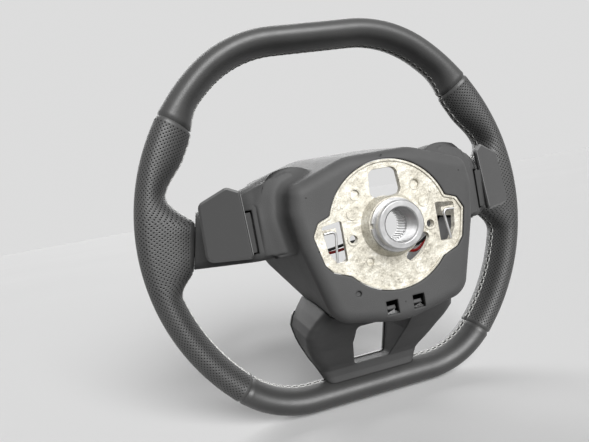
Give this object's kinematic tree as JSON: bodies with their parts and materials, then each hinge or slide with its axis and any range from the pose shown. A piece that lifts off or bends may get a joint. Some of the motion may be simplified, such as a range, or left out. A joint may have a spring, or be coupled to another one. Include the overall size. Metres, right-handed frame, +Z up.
{
  "type": "car steering wheel",
  "caption": "Flat-bottomed car steering wheel with a leather rim, perforated grips, shift paddles, spoke keys and a splined hub sleeve, its airbag taken out.",
  "frame": {"origin": "on the column bore's axis, level with the rear edge of the hub plate", "axes": "+X to the driver's right, +Y from the driver to the column along the bore, +Z up with the wheel straight ahead"},
  "size_m": [0.3728, 0.1402, 0.3536],
  "materials": {
    "smooth_leather": "fine grained, low sheen",
    "perforated_leather": "perforated, low sheen",
    "rim_foam": "moulded skin",
    "cast_alloy": "rough as cast",
    "sleeve_steel": "machined",
    "spring_steel": "drawn wire",
    "cover_plastic": "fine moulded grain",
    "trim_plastic": "smooth satin",
    "board": "lacquered",
    "key_plastic": "soft touch",
    "roller_rubber": "ribbed",
    "paddle_plastic": "satin",
    "housing_plastic": "moulded",
    "screw_steel": "zinc plated",
    "red_sleeving": "smooth",
    "black_sleeving": "smooth"
  },
  "bodies": {
    "wheel": {"leather_top": "smooth_leather", "leather_bottom": "smooth_leather", "right_grip_leather": "perforated_leather", "left_grip_leather": "perforated_leather", "rim_foam": "rim_foam", "armature": "cast_alloy", "hub_sleeve": "sleeve_steel", "right_retaining_spring": "spring_steel", "left_retaining_spring": "spring_steel", "back_cover": "cover_plastic", "lower_spoke_cover": "cover_plastic", "lower_spoke_trim": "trim_plastic", "housing_screws": "screw_steel", "red_wire": "red_sleeving", "black_wire": "black_sleeving", "right_switch_panel": "trim_plastic", "right_switch_board": "board", "right_paddle_housing": "housing_plastic", "right_paddle_pin": "spring_steel", "right_paddle_spring": "spring_steel", "left_switch_panel": "trim_plastic", "left_switch_board": "board", "left_paddle_housing": "housing_plastic", "left_paddle_pin": "spring_steel", "left_paddle_spring": "spring_steel"},
    "right_paddle": {"right_paddle": "paddle_plastic"},
    "right_inner_key": {"right_inner_key": "key_plastic"},
    "right_outer_key": {"right_outer_key": "key_plastic"},
    "right_roller": {"right_roller": "roller_rubber"},
    "left_paddle": {"left_paddle": "paddle_plastic"},
    "left_inner_key": {"left_inner_key": "key_plastic"},
    "left_outer_key": {"left_outer_key": "key_plastic"},
    "left_roller": {"left_roller": "roller_rubber"}
  },
  "joints": [
    {"name": "right_paddle_pull", "type": "hinge", "parent": "wheel", "child": "right_paddle", "pos_m": [0.092, -0.044, 0.012], "axis": [0, 0, -1], "range_deg": [0, 5], "stiffness_Nm_per_rad": 1.2, "springref_deg": -3.44},
    {"name": "right_inner_key_press", "type": "slide", "parent": "wheel", "child": "right_inner_key", "axis": [0, 1, 0], "range_m": [0, 0.001], "stiffness_N_per_m": 1500, "springref_m": -0.0005},
    {"name": "right_outer_key_press", "type": "slide", "parent": "wheel", "child": "right_outer_key", "axis": [0, 1, 0], "range_m": [0, 0.001], "stiffness_N_per_m": 1500, "springref_m": -0.0005},
    {"name": "right_roller_turn", "type": "hinge", "parent": "wheel", "child": "right_roller", "pos_m": [0.1005, -0.1045, 0.017], "axis": [1, 0, 0], "continuous": true},
    {"name": "left_paddle_pull", "type": "hinge", "parent": "wheel", "child": "left_paddle", "pos_m": [-0.092, -0.044, 0.012], "axis": [0, 0, 1], "range_deg": [0, 5], "stiffness_Nm_per_rad": 1.2, "springref_deg": -3.44},
    {"name": "left_inner_key_press", "type": "slide", "parent": "wheel", "child": "left_inner_key", "axis": [0, 1, 0], "range_m": [0, 0.001], "stiffness_N_per_m": 1500, "springref_m": -0.0005},
    {"name": "left_outer_key_press", "type": "slide", "parent": "wheel", "child": "left_outer_key", "axis": [0, 1, 0], "range_m": [0, 0.001], "stiffness_N_per_m": 1500, "springref_m": -0.0005},
    {"name": "left_roller_turn", "type": "hinge", "parent": "wheel", "child": "left_roller", "pos_m": [-0.1005, -0.1045, 0.017], "axis": [1, 0, 0], "continuous": true}
  ]
}
